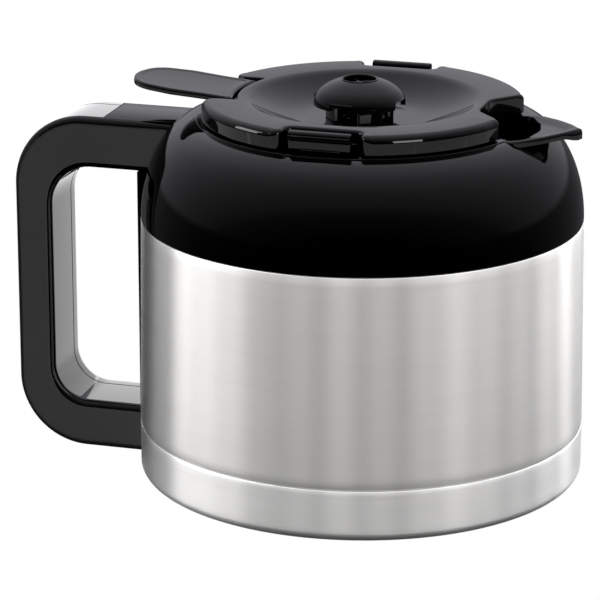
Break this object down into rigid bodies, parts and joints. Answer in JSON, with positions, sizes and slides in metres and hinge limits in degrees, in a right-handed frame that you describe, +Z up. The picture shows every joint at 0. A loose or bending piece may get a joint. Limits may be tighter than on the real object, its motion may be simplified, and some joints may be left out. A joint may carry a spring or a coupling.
{
  "type": "insulated coffee jug",
  "caption": "Squat brushed-steel insulated jug of a drip coffee maker, with a black rounded collar, beak spout, loop handle and a dished brew-through lid with thumb lever and squeeze clips.",
  "frame": {"origin": "on the jug's axis, in the plane that the foot pad stands on", "axes": "+Z up along the jug's axis, +X towards the spout, -X towards the handle, +Y to the side where the handle's rear cover is"},
  "size_m": [0.1945, 0.15, 0.1353],
  "materials": {
    "brushed_steel": "fine brushing around the axis",
    "inner_steel": "satin, electropolished",
    "pin_steel": "ground stainless steel",
    "black_gloss": "high gloss",
    "black_inner": "fine matt",
    "seal": "silicone, satin",
    "foot_rubber": "matt"
  },
  "bodies": {
    "jug": {"outer_shell": "brushed_steel", "shell_shoulder": "brushed_steel", "inner_liner": "inner_steel", "liner_neck": "inner_steel", "vacuum_tip": "inner_steel", "base_cup": "brushed_steel", "base_foot": "foot_rubber", "collar": "black_gloss", "neck_gasket": "seal", "mouth_ring": "black_inner", "lower_bracket": "inner_steel", "handle_front_shell": "black_gloss", "handle_rear_shell": "black_gloss", "handle_top_cap": "black_gloss", "handle_strap": "black_gloss", "handle_screws": "pin_steel"},
    "lid": {"lid_top": "black_gloss", "lid_plug": "black_inner", "plug_seal": "seal", "drip_dome": "black_gloss", "lever_pin": "pin_steel", "clip_pins": "pin_steel", "clip_springs": "pin_steel"},
    "lever": {"lever": "black_gloss"},
    "pour_valve": {"pour_valve": "black_inner", "valve_seal": "seal", "valve_spring": "pin_steel"},
    "clip_front": {"clip_front": "black_gloss"},
    "clip_rear": {"clip_rear": "black_gloss"}
  },
  "joints": [
    {"name": "lid_lift", "type": "slide", "parent": "jug", "child": "lid", "axis": [0, 0, 1], "range_m": [0, 0.07]},
    {"name": "lever_press", "type": "hinge", "parent": "lid", "child": "lever", "pos_m": [-0.0455, 0, 0.1236], "axis": [0, -1, 0], "range_deg": [0, 7], "stiffness_Nm_per_rad": 0.02, "springref_deg": -14.32},
    {"name": "valve_slide", "type": "slide", "parent": "lid", "child": "pour_valve", "axis": [0, 0, 1], "range_m": [0, 0.00565], "deforming": ["valve_spring"]},
    {"name": "clip_front_press", "type": "hinge", "parent": "lid", "child": "clip_front", "pos_m": [0, -0.048, 0.11565], "axis": [-1, 0, 0], "range_deg": [0, 14], "stiffness_Nm_per_rad": 0.002, "springref_deg": -14.32},
    {"name": "clip_rear_press", "type": "hinge", "parent": "lid", "child": "clip_rear", "pos_m": [0, 0.048, 0.11565], "axis": [1, 0, 0], "range_deg": [0, 14], "stiffness_Nm_per_rad": 0.002, "springref_deg": -14.32}
  ],
  "couplings": [
    {"joint": "lever_press", "follows": "valve_slide", "rad_per_m": 21.627}
  ]
}
